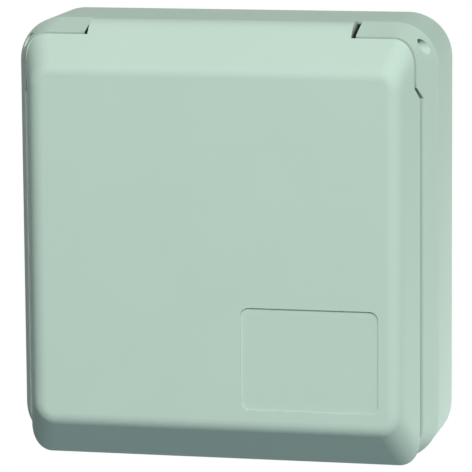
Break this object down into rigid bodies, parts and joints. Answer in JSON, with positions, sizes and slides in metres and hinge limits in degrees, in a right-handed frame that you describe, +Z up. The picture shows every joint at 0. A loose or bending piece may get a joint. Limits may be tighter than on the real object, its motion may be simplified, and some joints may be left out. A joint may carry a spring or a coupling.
{
  "type": "panel-mounted industrial socket",
  "caption": "Pale grey-green panel socket with a deep square frame and a sprung lid hinged along its top edge, closed over a keyed round outlet.",
  "frame": {"origin": "centre of the fixing hole pattern on the panel face, on the socket's axis", "axes": "X across the panel to the right, Y into the panel, Z up the panel"},
  "size_m": [0.0978, 0.0744, 0.1014],
  "materials": {
    "housing_plastic": "fine moulded grain, pale grey-green",
    "lid_plastic": "fine moulded grain, pale grey-green",
    "pin_steel": "ground pin",
    "spring_steel": "drawn wire",
    "screw_steel": "zinc plated",
    "seal_rubber": "matte",
    "gasket_foam": "closed-cell foam",
    "collar_plastic": "satin red",
    "insert_plastic": "matte charcoal",
    "block_plastic": "matte grey",
    "contact_brass": "turned"
  },
  "bodies": {
    "housing": {"housing_frame": "housing_plastic", "hinge_pin": "pin_steel", "lid_spring": "spring_steel", "socket_collar": "collar_plastic", "collar_screws": "screw_steel", "panel_gasket": "gasket_foam", "contact_insert": "insert_plastic", "contact_l1": "contact_brass", "grip_ring_l1": "spring_steel", "contact_l2": "contact_brass", "grip_ring_l2": "spring_steel", "contact_l3": "contact_brass", "grip_ring_l3": "spring_steel", "contact_n": "contact_brass", "grip_ring_n": "spring_steel", "contact_pe": "contact_brass", "grip_ring_pe": "spring_steel", "terminal_block": "block_plastic", "block_screws": "screw_steel", "terminal_screws": "screw_steel"},
    "lid_body": {"lid": "lid_plastic", "lid_seal": "seal_rubber"}
  },
  "joints": [
    {"name": "lid_hinge", "type": "hinge", "parent": "housing", "child": "lid_body", "pos_m": [0, -0.02364, 0.0452], "axis": [-1, 0, 0], "range_deg": [0, 95], "stiffness_Nm_per_rad": 0.02, "springref_deg": -57.3, "deforming": ["lid_spring"]}
  ]
}
